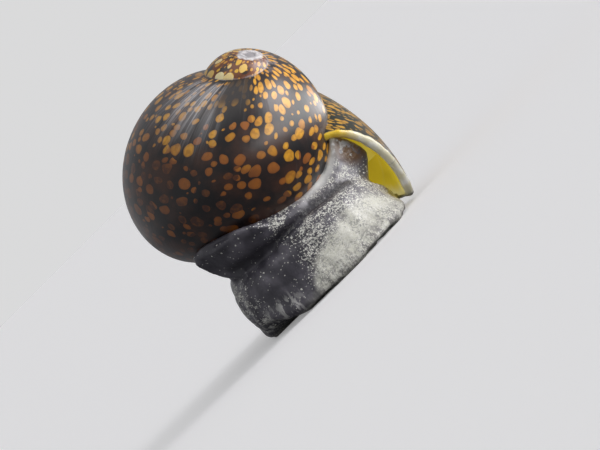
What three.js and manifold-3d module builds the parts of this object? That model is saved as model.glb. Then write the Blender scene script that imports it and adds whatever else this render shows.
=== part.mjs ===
import * as THREE from 'three';
import { mergeVertices } from 'three/addons/utils/BufferGeometryUtils.js';
import Module from 'manifold-3d';

const wasm = await Module();
wasm.setup();

// A nerite snail, life size, in millimetres. The origin is the middle of the sole on the floor,
// +Y is the way the snail heads, +X is its right side and +Z is up.

// Shell: a right-handed coil that grows clockwise when seen from its apex.
const apex = new THREE.Vector3(8.35, -7.25, 20.35);
const coilAxisBearing = 57; // degrees from straight back toward the snail's right
const coilAxisRise = 37; // degrees above the floor
const coilRoll = -70.8; // degrees from level to the cross-section at turn zero
// Each whorl section is a tilted ellipse, given one turn back, half a turn back and at the lip.
const sectionOut = [2.13, 1.98, 8.33]; // centre's distance from the coil axis
const sectionDrop = [7.69, 12.27, 15.49]; // centre's depth below the apex
const sectionHalfWidth = [5.61, 8.8, 7.78];
const sectionHalfHeight = [7.06, 10.16, 10.06];
const sectionTilt = 24.2; // degrees
const spireGrowth = 3.34; // size ratio from turn to turn in the spire
const axisCore = 0.12; // radius at which the sections stop short of the axis
const ringSides = 20;
const ringsPerTurn = 22;
const spireTurn = -2.2; // the spire starts here at the worn apex
const bodyTurn = -1.24; // where the body whorl takes over from the spire, in turns
const seamTurn = -0.42; // where the last whorl takes over from the body whorl
const lastTurn = 0.16;
const spireDepth = 6.6; // the spire's part ends this far down the axis, inside the larger whorls
const cavityTurn = -0.2;
const cavityEnd = 0.22;
const cavityDepth = 4.2; // the shell is solid past this depth, where no opening shows its inside
const wall = 0.9;
const clearance = 0.3; // between parts that touch in life

// Aperture: a steep rear mouth through these three rim points, and a front rim over the head.
const lipCorner = new THREE.Vector3(8.3, -7.4, 10.3);
const lipFoot = new THREE.Vector3(10.1, -3.4, 0.6);
const lipHeel = new THREE.Vector3(-9.2, -4.7, 10.2);
const frontRimHeight = 4.7;
const frontRimFall = 0.37; // the rim gets lower toward the snail's right
const lowestRim = 0.6;
const rearRimHeight = 7.0;
const rimBendY = -2.2; // where the rim bends from its rear height to its front height
const rimBendSkew = 0.55; // the bend lies further back on the right
const rimBendSpan = 2.6;
const lipBand = 1.0;
const deckHeight = 5.4; // lower edge of the shelf that half closes the mouth
const deckThickness = 1.0;
const deckInset = 2.6;

// Foot and body: levels from the sole up into the shell, each with its height, half-width,
// rear and front ends and sideways shift.
const fleshLevels = [
  [0, 8.4, -11.9, 11.3, 0],
  [0.35, 8.8, -12.3, 11.75, 0],
  [0.9, 8.85, -12.1, 11.6, 0],
  [1.8, 8.4, -11.5, 10.2, 0],
  [2.8, 8, -11.1, 9, -0.05],
  [4, 7.85, -10.9, 8, -0.1],
  [5.2, 7.95, -10.8, 7.2, 0],
  [6.4, 7.8, -10.5, 6.2, 0.1],
  [7.8, 7.2, -9.6, 5, 0.4],
  [9.4, 6, -7.5, 3, 0.5],
  [10.4, 4.5, -5.5, 1, 0.5],
];
const soleCornering = 2.5; // exponent of the outline: 2 is an ellipse, more is squarer
const footRear = -4; // cuts between the foot's lengths
const footFront = 4.4;
const footTop = 5.95;
const footFrontTop = 1.5;
const toeEnd = 12.1;

// Flesh that fills the mouth's upper corner, as seen from behind, and how deep it starts and ends.
const cornerOutline = [[-8.8, 3], [7.6, 3.4], [8.8, 4.9], [10.3, 6.1], [10.3, 10.6], [4, 10.6], [-8.8, 9]];
const cornerDepth = [0.35, 2.3];
const cornerFront = -1.5;

// Head: stations from the neck to the snout's end, each with its distance forward, half-width,
// middle height and half-height.
const headX = -1;
const headStations = [
  [5.5, 3.6, 2.9, 1.3],
  [9, 3.3, 2.85, 1.2],
  [11.2, 3.1, 2.85, 1.3],
  [12.9, 3, 2.6, 1.6],
  [14.5, 2.75, 2.2, 1.55],
  [15.9, 2.5, 1.8, 1.3],
  [16.8, 2, 1.5, 0.95],
  [17.25, 1.25, 1.4, 0.5],
];
const neckEnd = 11;
const snoutStart = 14.5;

// Tentacles, eyes and their stalks, stated for the right side and mirrored for the left.
const tentacleRoute = [[2, 13, 3.3], [3.4, 15.2, 4], [5, 17.6, 3.9], [6, 19.9, 3.3], [7.3, 22, 3]];
const tentacleRadius = [0.62, 0.27];
const tentacleCut = 17.6;
const stalkRoute = [[1.9, 12, 2.9], [2.75, 12.1, 3.45], [3.3, 12.2, 3.9]];
const stalkRadius = [0.9, 0.62];
const eyeCentre = [3.52, 12.35, 4.1];
const eyeRadius = 0.45;

// The lobe that carries the operculum laps up over the shell's rear, with this outline from behind
// and this one from the side.
const lobeOutline = [[-9.7, 9.9], [-8.6, 10.7], [-6.9, 10.8], [-4.6, 9.9], [-1.6, 8.5], [1.6, 7.7], [4.4, 7.8],
  [6.4, 8.8], [7.5, 10], [8.4, 9.6], [8.6, 5.2], [-7.6, 5.2], [-8.1, 7.9]];
const lobeProfile = [[-14, 4], [-14, 12], [-8, 12], [-4.6, 10.6], [-3.4, 8.6], [-3.2, 6.4], [-4.4, 4]];
const lobeLayer = [1.15, 2.1]; // distances from the shell
const operculumLayer = [0.3, 0.85];
const operculumMiddle = [-4.9, 7.3];
const operculumHalf = [3.7, 2.3];
const operculumLean = -0.25;

// Mantle edge inside the front rim.
const collarDepth = [0.5, 2];
const collarThickness = 0.9;
const collarRear = -1;

const degrees = Math.PI / 180;
const material = (color, roughness) => new THREE.MeshStandardMaterial({ color, roughness, metalness: 0 });
const shellDark = material(0x2a1a10, 0.15);
const lipCream = material(0xe8d8a0, 0.3);
const callusGrey = material(0xc9cdc8, 0.35);
const fleshGrey = material(0x33353a, 0.45);
const eyeBlack = material(0x0a0a0a, 0.1);
const operculumGrey = material(0x5a5550, 0.4);

function toSolid(geometry) {
  const bare = geometry.clone();
  bare.deleteAttribute('normal');
  bare.deleteAttribute('uv');
  const merged = mergeVertices(bare, 1e-5);
  return new wasm.Manifold(new wasm.Mesh({
    numProp: 3,
    vertProperties: new Float32Array(merged.attributes.position.array),
    triVerts: new Uint32Array(merged.index.array),
  }));
}

function toMesh(name, solid, finish) {
  const raw = solid.getMesh();
  const geometry = new THREE.BufferGeometry();
  geometry.setAttribute('position', new THREE.BufferAttribute(new Float32Array(raw.vertProperties), 3));
  geometry.setIndex(new THREE.BufferAttribute(new Uint32Array(raw.triVerts), 1));
  geometry.computeVertexNormals();
  const mesh = new THREE.Mesh(geometry, finish);
  mesh.name = name;
  return mesh;
}

// A closed skin through rings of equal point count, capped at both ends.
function loft(rings) {
  const count = rings[0].length;
  const points = rings.flat();
  const index = [];
  for (let i = 0; i < rings.length - 1; i++) {
    for (let j = 0; j < count; j++) {
      const a = i * count + j;
      const b = i * count + (j + 1) % count;
      index.push(a, b, a + count, b, b + count, a + count);
    }
  }
  for (const [ring, turn] of [[0, 1], [rings.length - 1, -1]]) {
    const middle = new THREE.Vector3();
    rings[ring].forEach((point) => middle.addScaledVector(point, 1 / count));
    points.push(middle);
    for (let j = 0; j < count; j++) {
      const a = ring * count + j;
      const b = ring * count + (j + 1) % count;
      index.push(...(turn > 0 ? [b, a, points.length - 1] : [a, b, points.length - 1]));
    }
  }
  const geometry = new THREE.BufferGeometry().setFromPoints(points);
  geometry.setIndex(index);
  const solid = toSolid(geometry);
  if (solid.volume() > 0) return solid;
  geometry.setIndex(index.toReversed());
  return toSolid(geometry);
}

const join = (...solids) => solids.reduce((whole, next) => whole.add(next));

// The coil's own directions: up its axis, level across it, and square to both.
const bearing = coilAxisBearing * degrees;
const rise = coilAxisRise * degrees;
const axisUp = new THREE.Vector3(
  Math.sin(bearing) * Math.cos(rise), -Math.cos(bearing) * Math.cos(rise), Math.sin(rise));
const axisLevel = new THREE.Vector3(-axisUp.y, axisUp.x, 0).normalize();
const axisSide = new THREE.Vector3().crossVectors(axisUp, axisLevel);

// A size at a given turn: a smooth curve through the three stated sections over the last turn,
// and even growth before it.
function sizeAt([start, middle, end], turn) {
  const back = Math.log(start / middle);
  const ahead = Math.log(end / middle);
  const t = 2 * turn + 1;
  if (t < -1) return start * Math.pow(spireGrowth, turn + 1);
  return middle * Math.exp((ahead - back) / 2 * t + (ahead + back) / 2 * t * t);
}

function whorlRing(turn, grow) {
  const out = sizeAt(sectionOut, turn);
  const drop = sizeAt(sectionDrop, turn);
  const halfWidth = sizeAt(sectionHalfWidth, turn) + grow;
  const halfHeight = sizeAt(sectionHalfHeight, turn) + grow;
  const tilt = sectionTilt * degrees;
  const angle = coilRoll * degrees - turn * 2 * Math.PI;
  const outward = axisLevel.clone().multiplyScalar(Math.cos(angle)).addScaledVector(axisSide, Math.sin(angle));
  return Array.from({ length: ringSides }, (_, i) => {
    const around = i / ringSides * 2 * Math.PI;
    const x = halfWidth * Math.cos(around);
    const y = halfHeight * Math.sin(around);
    const radius = Math.max(axisCore, out + x * Math.cos(tilt) - y * Math.sin(tilt));
    const height = x * Math.sin(tilt) + y * Math.cos(tilt) - drop;
    return apex.clone().addScaledVector(outward, radius).addScaledVector(axisUp, height);
  });
}

// A length of the coil, with its rings at the same turns wherever it starts and ends.
function whorls(from, to, grow = 0) {
  const turns = [from];
  for (let i = Math.ceil((from + 0.01) * ringsPerTurn); i < (to - 0.01) * ringsPerTurn; i++) {
    turns.push(i / ringsPerTurn);
  }
  turns.push(to);
  return loft(turns.map((turn) => whorlRing(turn, grow)));
}

// Everything below the aperture's surface, or below that surface moved into the shell by a depth.
function rimHeight(x, y) {
  const front = Math.max(lowestRim, frontRimHeight - frontRimFall * x);
  const bend = (1 - Math.tanh((y - rimBendY + rimBendSkew * x) / rimBendSpan)) / 2;
  return front + (rearRimHeight - front) * bend;
}

function belowRim(depth) {
  const block = new THREE.BoxGeometry(60, 60, 40, 20, 20, 1);
  const place = block.attributes.position;
  for (let i = 0; i < place.count; i++) {
    const top = place.getZ(i) > 0;
    place.setZ(i, top ? rimHeight(place.getX(i), place.getY(i)) + depth : -40);
  }
  return toSolid(block);
}

const mouthNormal = new THREE.Vector3().crossVectors(
  lipHeel.clone().sub(lipCorner), lipFoot.clone().sub(lipCorner)).normalize();

function behindMouth(depth) {
  const block = new THREE.BoxGeometry(80, 80, 40);
  block.translate(0, 0, 20 - depth);
  const turn = new THREE.Quaternion().setFromUnitVectors(new THREE.Vector3(0, 0, 1), mouthNormal);
  block.applyQuaternion(turn);
  block.translate(lipCorner.x, lipCorner.y, lipCorner.z);
  return toSolid(block);
}

const outsideAperture = (depth) => belowRim(depth).add(behindMouth(depth));

// A shape stated with Z up the coil axis from the apex, and X outward at a given turn.
function placeOnAxis(geometry, turn = 0) {
  const angle = coilRoll * degrees - turn * 2 * Math.PI;
  const outward = axisLevel.clone().multiplyScalar(Math.cos(angle)).addScaledVector(axisSide, Math.sin(angle));
  const across = new THREE.Vector3().crossVectors(axisUp, outward);
  geometry.applyMatrix4(new THREE.Matrix4().makeBasis(outward, across, axisUp).setPosition(apex));
  return toSolid(geometry);
}

const aboveOnAxis = (depth) => placeOnAxis(new THREE.BoxGeometry(80, 80, 80).translate(0, 0, 40 - depth));
const axisRod = (radius, top) => placeOnAxis(
  new THREE.CylinderGeometry(radius, radius, 40, 10).rotateX(Math.PI / 2).translate(0, 0, -20 - top));
const seamSlot = (turn) => placeOnAxis(
  new THREE.BoxGeometry(40, clearance * 2, 80).translate(20 - axisCore - clearance, 0, 0), turn);

function region(x0, x1, y0, y1, z0, z1) {
  const block = new THREE.BoxGeometry(x1 - x0, y1 - y0, z1 - z0);
  block.translate((x0 + x1) / 2, (y0 + y1) / 2, (z0 + z1) / 2);
  return toSolid(block);
}

const far = 60;

function superellipse(halfWidth, halfLength, exponent, sides) {
  return Array.from({ length: sides }, (_, i) => {
    const angle = i / sides * 2 * Math.PI;
    const c = Math.cos(angle);
    const w = Math.sin(angle);
    const scale = Math.pow(Math.abs(c) ** exponent + Math.abs(w) ** exponent, -1 / exponent);
    return [halfWidth * c * scale, halfLength * w * scale];
  });
}

function fleshColumn(grow = 0) {
  return loft(fleshLevels.map(([z, halfWidth, rear, front, shift]) =>
    superellipse(halfWidth + grow, (front - rear) / 2 + grow, soleCornering, 28)
      .map(([x, y]) => new THREE.Vector3(x + shift, y + (front + rear) / 2, z + (z > 0 ? grow : 0)))));
}

function headLoft(grow = 0) {
  return loft(headStations.map(([y, halfWidth, middle, halfHeight]) =>
    superellipse(halfWidth + grow, halfHeight + grow, 2.4, 16)
      .map(([x, z]) => new THREE.Vector3(headX + x, y, middle + z))));
}

// A tapered round limb along a smooth route, with a rounded tip.
function limb(route, [rootRadius, tipRadius], steps, back = 0, sides = 8) {
  const curve = new THREE.CatmullRomCurve3(route);
  const frames = curve.computeFrenetFrames(steps, false);
  const start = curve.getPointAt(0).addScaledVector(frames.tangents[0], -back);
  const rings = back > 0 ? [ringAround(start, frames.normals[0], frames.binormals[0], rootRadius, sides)] : [];
  for (let i = 0; i <= steps; i++) {
    const radius = rootRadius + (tipRadius - rootRadius) * i / steps;
    rings.push(ringAround(curve.getPointAt(i / steps), frames.normals[i], frames.binormals[i], radius, sides));
  }
  const end = curve.getPointAt(1).addScaledVector(frames.tangents[steps], tipRadius * 0.6);
  rings.push(ringAround(end, frames.normals[steps], frames.binormals[steps], tipRadius * 0.6, sides));
  return loft(rings);
}

function ringAround(centre, across, up, radius, sides) {
  return Array.from({ length: sides }, (_, i) => {
    const angle = i / sides * 2 * Math.PI;
    return centre.clone().addScaledVector(across, radius * Math.cos(angle)).addScaledVector(up, radius * Math.sin(angle));
  });
}

// A prism along Y with the given outline from behind, reaching from one Y to another.
function outlinePrism(points, y0, y1, smooth) {
  const shape = new THREE.Shape();
  if (smooth) {
    const curve = new THREE.CatmullRomCurve3(points.map(([x, z]) => new THREE.Vector3(x, z, 0)), true);
    shape.setFromPoints(curve.getPoints(points.length * 4).map((p) => new THREE.Vector2(p.x, p.y)));
  } else {
    shape.setFromPoints(points.map(([x, z]) => new THREE.Vector2(x, z)));
  }
  const prism = new THREE.ExtrudeGeometry(shape, { depth: y1 - y0, bevelEnabled: false });
  prism.rotateX(Math.PI / 2);
  prism.translate(0, y1, 0);
  return toSolid(prism);
}

const mirrored = (points, sign) => points.map(([x, y, z]) => new THREE.Vector3(headX + sign * x, y, z));

function profilePrism(points) {
  const prism = outlinePrism(points, -far, far, true);
  return prism.rotate([0, 0, 90]);
}

// The largest of a solid's separate bodies.
function mainBody(solid) {
  return solid.decompose().reduce((best, next) => (next.volume() > best.volume() ? next : best));
}

// Shell parts.
const bodyWhorl = whorls(bodyTurn, seamTurn).subtract(belowRim(0));
const spire = whorls(spireTurn, bodyTurn).subtract(whorls(bodyTurn, seamTurn, clearance))
  .subtract(seamSlot(bodyTurn)).intersect(aboveOnAxis(spireDepth));
const bodyRoom = join(whorls(spireTurn, bodyTurn, clearance).intersect(aboveOnAxis(spireDepth + clearance)),
  whorls(bodyTurn, seamTurn, clearance), axisRod(axisCore + clearance, spireDepth));
const mouthRoom = (grow, depth) => whorls(cavityTurn, cavityEnd, -wall - grow).intersect(outsideAperture(depth));
const cavity = mouthRoom(0, cavityDepth);
const lastWhorl = whorls(seamTurn, lastTurn).subtract(bodyRoom).subtract(seamSlot(seamTurn))
  .subtract(outsideAperture(0)).subtract(cavity);
const lip = lastWhorl.intersect(outsideAperture(lipBand));
const lastWall = lastWhorl.subtract(outsideAperture(lipBand + clearance));
const innerRoom = mouthRoom(clearance, cavityDepth - clearance);
const mouthSlab = ([start, end]) => outsideAperture(end).subtract(outsideAperture(start));
const deck = innerRoom.intersect(mouthSlab([deckInset, deckInset + deckThickness]))
  .subtract(bodyRoom).subtract(seamSlot(cavityTurn)).intersect(region(-far, far, -far, far, deckHeight, far));

// The space that the flesh keeps clear of.
const bodyMargin = whorls(bodyTurn, seamTurn + 0.01, clearance).subtract(belowRim(-clearance));
const lastMargin = whorls(seamTurn, lastTurn, clearance).subtract(outsideAperture(-clearance)).subtract(innerRoom);
const deckMargin = mouthRoom(0, deckInset + deckThickness + clearance)
  .subtract(outsideAperture(deckInset - clearance))
  .intersect(region(-far, far, -far, far, deckHeight - clearance, far));
const shellMargin = join(bodyMargin, lastMargin, deckMargin, axisRod(axisCore + clearance, 2));

// The lobe and the operculum follow the shell's rear surface.
const rearLayer = ([inner, outer], ahead = 0) => whorls(-1.02, seamTurn, outer)
  .subtract(whorls(-1.05, seamTurn + 0.02, inner)).intersect(profilePrism(lobeProfile).translate([0, ahead, 0]));
const operculumShape = superellipse(...operculumHalf, 2, 24).map(([x, z]) => [
  operculumMiddle[0] + x - operculumLean * z, operculumMiddle[1] + z + operculumLean * x]);
const lobeArea = outlinePrism(lobeOutline, -far, 0, true);
const above = (z) => region(-far, far, -far, far, z, far);
const gap = clearance / 2;
const lobe = rearLayer(lobeLayer).intersect(lobeArea).intersect(above(footTop + gap))
  .subtract(lastMargin).subtract(deckMargin);
const operculum = rearLayer(operculumLayer).intersect(outlinePrism(operculumShape, -far, 0, false))
  .intersect(above(footTop + gap));

const cornerFill = innerRoom.intersect(mouthSlab(cornerDepth))
  .intersect(outlinePrism(cornerOutline, -far, cornerFront, false));
const lobeRoom = rearLayer([0, lobeLayer[1] + clearance], clearance).intersect(above(footTop));
const flesh = join(fleshColumn(), headLoft(), cornerFill).subtract(shellMargin);
const stretch = (y0, y1, z0, z1) => region(-far, far, y0 + gap, y1 - gap, z0, z1);
const footRearPart = flesh.intersect(stretch(-far, footRear, -1, footTop - gap));
const footMiddle = flesh.intersect(stretch(footRear, footFront, -1, footTop - gap));
const footFrontPart = flesh.intersect(stretch(footFront, toeEnd, -1, footFrontTop - gap));
const column = flesh.intersect(stretch(-far, footFront, footTop + gap, far)).subtract(lobeRoom);
const neck = flesh.intersect(stretch(footFront, neckEnd, footFrontTop + gap, far));
let head = flesh.intersect(stretch(neckEnd, snoutStart, -1, far))
  .subtract(region(-far, far, -far, toeEnd + gap, -1, footFrontTop + gap));
const snout = flesh.intersect(stretch(snoutStart, far, -1, far));
const collarRoom = mouthRoom(clearance + collarThickness, cavityDepth);
const collar = innerRoom.subtract(collarRoom).intersect(mouthSlab(collarDepth)).subtract(bodyRoom)
  .subtract(fleshColumn(clearance)).subtract(headLoft(clearance)).intersect(region(-far, far, collarRear, far, 0, far));

const snail = new THREE.Group();
for (const [label, sign] of [['left', -1], ['right', 1]]) {
  const tentacle = limb(mirrored(tentacleRoute, sign), tentacleRadius, 9);
  const tentacleRoom = limb(mirrored(tentacleRoute, sign), tentacleRadius.map((r) => r + clearance), 9, clearance);
  const stalkRoom = limb(mirrored(stalkRoute, sign), stalkRadius.map((r) => r + clearance), 4, clearance);
  const [eyeAt] = mirrored([eyeCentre], sign);
  const ball = (radius) => toSolid(new THREE.SphereGeometry(radius, 12, 8).translate(...eyeAt));
  const stalk = limb(mirrored(stalkRoute, sign), stalkRadius, 4).subtract(tentacleRoom)
    .subtract(ball(eyeRadius + clearance / 2));
  head = head.subtract(tentacleRoom).subtract(stalkRoom).subtract(ball(eyeRadius + clearance));
  snail.add(
    toMesh('tentacle_' + label + '_base', tentacle.intersect(stretch(-far, tentacleCut, 0, far)), fleshGrey),
    toMesh('tentacle_' + label + '_tip', tentacle.intersect(stretch(tentacleCut, far, 0, far)), fleshGrey),
    toMesh('eye_stalk_' + label, mainBody(stalk), fleshGrey),
    toMesh('eye_' + label, ball(eyeRadius), eyeBlack),
  );
}
snail.add(
  toMesh('shell_spire', mainBody(spire), shellDark),
  toMesh('shell_body_whorl', mainBody(bodyWhorl), shellDark),
  toMesh('shell_last_whorl', mainBody(lastWall), shellDark),
  toMesh('shell_lip', mainBody(lip), lipCream),
  toMesh('shell_deck', mainBody(deck), callusGrey),
  toMesh('operculum', mainBody(operculum), operculumGrey),
  toMesh('operculum_lobe', mainBody(lobe), fleshGrey),
  toMesh('body_column', mainBody(column), fleshGrey),
  toMesh('mantle_collar', mainBody(collar), fleshGrey),
  toMesh('foot_rear', mainBody(footRearPart), fleshGrey),
  toMesh('foot_middle', mainBody(footMiddle), fleshGrey),
  toMesh('foot_front', mainBody(footFrontPart), fleshGrey),
  toMesh('neck', mainBody(neck), fleshGrey),
  toMesh('head', mainBody(head), fleshGrey),
  toMesh('snout', mainBody(snout), fleshGrey),
);

export default snail;
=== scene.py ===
import math

import bpy
import numpy as np
from mathutils import Matrix, Vector
from mathutils import noise as roughly
from mathutils.bvhtree import BVHTree


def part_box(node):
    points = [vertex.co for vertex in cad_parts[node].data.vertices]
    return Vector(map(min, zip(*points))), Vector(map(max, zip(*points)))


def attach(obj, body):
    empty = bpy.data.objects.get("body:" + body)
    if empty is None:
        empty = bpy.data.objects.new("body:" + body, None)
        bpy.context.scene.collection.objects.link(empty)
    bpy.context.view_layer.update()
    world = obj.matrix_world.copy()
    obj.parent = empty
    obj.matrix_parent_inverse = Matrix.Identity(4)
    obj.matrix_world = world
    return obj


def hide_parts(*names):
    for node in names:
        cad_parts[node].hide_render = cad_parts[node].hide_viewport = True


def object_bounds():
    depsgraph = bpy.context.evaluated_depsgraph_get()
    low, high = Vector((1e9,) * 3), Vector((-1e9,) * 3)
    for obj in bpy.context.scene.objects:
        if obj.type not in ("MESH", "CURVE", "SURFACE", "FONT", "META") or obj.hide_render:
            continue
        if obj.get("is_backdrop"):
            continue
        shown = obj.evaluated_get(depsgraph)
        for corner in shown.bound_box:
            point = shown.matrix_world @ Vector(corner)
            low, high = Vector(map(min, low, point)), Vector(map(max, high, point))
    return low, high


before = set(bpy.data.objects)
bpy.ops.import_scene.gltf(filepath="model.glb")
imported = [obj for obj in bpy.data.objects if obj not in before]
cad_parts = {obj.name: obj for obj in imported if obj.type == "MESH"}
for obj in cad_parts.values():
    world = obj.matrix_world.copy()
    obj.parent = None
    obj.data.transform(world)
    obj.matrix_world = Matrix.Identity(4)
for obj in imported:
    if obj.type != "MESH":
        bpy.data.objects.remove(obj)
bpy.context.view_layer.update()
mm = 0.001

# The shell is one limy tube, wound to the right round a leaning axis and widening as it winds, so
# that each turn hides the one before. The snail lays it down at the lip, a thin growth line at a
# time, so every mark on it is placed by how far along the coil and how far round the tube it lies.
apex = np.array((8.35, -7.25, 20.35))
coil_bearing = math.radians(57)
coil_rise = math.radians(37)
coil_roll = math.radians(-70.8)
section_out = (2.13, 1.98, 8.33)
section_drop = (7.69, 12.27, 15.49)
section_half_width = (5.61, 8.8, 7.78)
section_half_height = (7.06, 10.16, 10.06)
section_tilt = math.radians(24.2)
spire_growth = 3.34
axis_core = 0.12
first_turn = -2.9
open_turn = -0.42
last_turn = 0.16
rings_a_turn = 104
sides = 96
wall = 0.8
full_growth = 66.0

axis_up = np.array((math.sin(coil_bearing) * math.cos(coil_rise),
                    -math.cos(coil_bearing) * math.cos(coil_rise), math.sin(coil_rise)))
axis_level = np.array((-axis_up[1], axis_up[0], 0)) / math.cos(coil_rise)
axis_side = np.cross(axis_up, axis_level)


def size_at(sizes, turn):
    start, middle, end = sizes
    back, ahead = math.log(start / middle), math.log(end / middle)
    t = 2 * turn + 1
    late = middle * np.exp((ahead - back) / 2 * t + (ahead + back) / 2 * t * t)
    return np.where(t < -1, start * spire_growth ** (turn + 1), late)


def tube(turn, around, grow=0.0):
    """Where the tube's skin lies at a turn and an angle round it, and its plane coordinates there."""
    half_width = size_at(section_half_width, turn) + grow
    half_height = size_at(section_half_height, turn) + grow
    x, y = half_width * np.cos(around), half_height * np.sin(around)
    out = size_at(section_out, turn) + x * math.cos(section_tilt) - y * math.sin(section_tilt)
    out = np.maximum(axis_core, out)
    up = x * math.sin(section_tilt) + y * math.cos(section_tilt) - size_at(section_drop, turn)
    angle = (coil_roll - turn * math.tau)[..., None]
    outward = axis_level * np.cos(angle) + axis_side * np.sin(angle)
    return apex + outward * out[..., None] + axis_up * up[..., None], out, up


lip_corner = np.array((8.3, -7.4, 10.3))
lip_foot = np.array((10.1, -3.4, 0.6))
lip_heel = np.array((-9.2, -4.7, 10.2))
mouth_normal = np.cross(lip_heel - lip_corner, lip_foot - lip_corner)
mouth_normal /= np.linalg.norm(mouth_normal)
lowest_rim = 0.35
rear_rim = 7.0


def rim_height(x, y):
    """The mouth's rim falls toward the snail's right, and bends up at the rear."""
    front = np.maximum(lowest_rim, 4.6 - 0.41 * x)
    bend = (1 - np.tanh((y + 2.2 + 0.55 * x) / 2.6)) / 2
    return front + (rear_rim - front) * bend


def inside_mouth(place):
    """How far inside the mouth's surface a point lies."""
    over_rim = place[..., 2] - rim_height(place[..., 0], place[..., 1])
    return np.minimum(over_rim, -(place - lip_corner) @ mouth_normal)


def deselect():
    bpy.ops.object.select_all(action="DESELECT")


def take(piece, *others):
    """Selects pieces, the first of them as the active one."""
    deselect()
    for each in (piece, *others):
        each.select_set(True)
    bpy.context.view_layer.objects.active = piece


def named(name):
    made = bpy.context.active_object
    made.name = name
    return made


def give(thing, **settings):
    for name, value in settings.items():
        setattr(thing, name, value)
    return thing


def edit(action="SELECT"):
    bpy.ops.object.mode_set(mode="EDIT")
    bpy.ops.mesh.select_all(action=action)


def end_edit():
    bpy.ops.object.mode_set(mode="OBJECT")


def edit_some(piece, wanted):
    """Goes into edit mode with only the wanted vertices selected."""
    edit("DESELECT")
    end_edit()
    piece.data.vertices.foreach_set("select", wanted)
    bpy.ops.object.mode_set(mode="EDIT")


def read(rows, name):
    flat = np.empty(len(rows) * 3, np.float32)
    rows.foreach_get(name, flat)
    return flat.reshape(-1, 3).astype(float)


def coordinates(piece):
    return read(piece.data.vertices, "co")


def set_coordinates(piece, places):
    piece.data.vertices.foreach_set("co", places.astype(np.float32).ravel())
    piece.data.update()


def set_mark(piece, name, values):
    made = piece.data.attributes.new(name, "FLOAT_VECTOR", "POINT")
    made.data.foreach_set("vector", values.astype(np.float32).ravel())


def get_mark(piece, name):
    return read(piece.data.attributes[name].data, "vector")


def lengths(vectors):
    return np.linalg.norm(vectors, axis=-1)


def running(steps):
    """How far along a line each of its places is, from the steps between them."""
    return np.concatenate(([0], np.cumsum(steps)))


deselect()
ring_count = round((last_turn - first_turn) * rings_a_turn)
bpy.ops.mesh.primitive_grid_add(x_subdivisions=ring_count, y_subdivisions=sides, size=1)
shell = named("shell")
flat = coordinates(shell)
turn = first_turn + (last_turn - first_turn) * (flat[:, 0] + 0.5)
around = math.tau * flat[:, 1]
place, out, up = tube(turn, around)

# How far along the coil, how far round the tube, and how far from the next or last turn's skin.
far_from_seam = 9.0
rows = np.linspace(first_turn, last_turn, ring_count + 1)
reach = size_at(section_out, rows) + 0.85 * size_at(section_half_width, rows)
growth = np.interp(turn, rows, running(math.tau * reach[1:] * np.diff(rows)))
columns = np.linspace(-math.pi, math.pi, 361)
middle_column = len(columns) // 2
girth = np.empty_like(growth)
seam = np.full_like(growth, far_from_seam)
order = np.round((turn - first_turn) / (last_turn - first_turn) * ring_count).astype(int)
for row in range(ring_count + 1):
    here = order == row
    _, ring_out, ring_up = tube(np.full(len(columns), rows[row]), columns)
    length = running(np.hypot(np.diff(ring_out), np.diff(ring_up)))
    girth[here] = np.interp(around[here], columns, length - length[middle_column])
    for other in (rows[row] - 1, rows[row] + 1):
        if other > last_turn:
            continue
        _, other_out, other_up = tube(np.full(len(columns), other), columns)
        gaps = np.hypot(out[here][:, None] - other_out, up[here][:, None] - other_up)
        seam[here] = np.minimum(seam[here], gaps.min(axis=1))
inside = np.maximum(inside_mouth(place), (open_turn - turn) * full_growth)
set_mark(shell, "place", place * mm)
set_mark(shell, "growth", np.stack((growth, girth, seam), 1))
set_mark(shell, "coil", np.stack((turn, around, inside), 1))

# The mouth is cut where the tube's skin meets the mouth's surface: the flat grid is raised by how far
# inside each point lies, cut level, and then wound up.
set_coordinates(shell, np.stack((flat[:, 0], flat[:, 1], inside * 0.01), 1))
edit()
bpy.ops.mesh.bisect(plane_co=(0, 0, 0), plane_no=(0, 0, 1), clear_inner=True, threshold=1e-7)
end_edit()
set_coordinates(shell, get_mark(shell, "place"))

# Only the two edges of the grid, which meet along the inner side of the tube, are joined.
edit_some(shell, np.abs(get_mark(shell, "coil")[:, 1]) > math.pi - 0.001)
bpy.ops.mesh.remove_doubles(threshold=0.004 * mm)
end_edit()

# The tip is worn off flat, rounded at the edge, with a pit in the middle.
worn_depth = 0.45
worn_radius = 0.75
edge_slope = 0.18
pit_radius = 0.42
pit_depth = 0.25
place = coordinates(shell) / mm - apex
up = place @ axis_up
from_axis = lengths(place - up[:, None] * axis_up)
pit = pit_depth * np.clip(1.3 - from_axis / pit_radius, 0, 1)
edge = edge_slope * np.clip(from_axis - worn_radius, 0, 1)
place -= np.maximum(0, up + worn_depth + pit + edge)[:, None] * axis_up
set_coordinates(shell, (place + apex) * mm)
edit()
bpy.ops.mesh.dissolve_degenerate(threshold=0.002 * mm)
end_edit()

# The bead of the lip will follow the cut from its left end to its corner. The first ring is closed.
rim_from, rim_to = -2.3, 1.55
coil = get_mark(shell, "coil")
on_cut = (np.abs(coil[:, 2]) < 1e-3) & (coil[:, 0] > open_turn + 0.001)
rim_line = coil[on_cut & (coil[:, 1] > rim_from) & (coil[:, 1] < rim_to)]
edit_some(shell, coil[:, 0] < first_turn + 0.5 / rings_a_turn)
bpy.ops.mesh.edge_face_add()
bpy.ops.mesh.select_all(action="SELECT")
bpy.ops.mesh.normals_make_consistent(inside=False)
end_edit()


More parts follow.
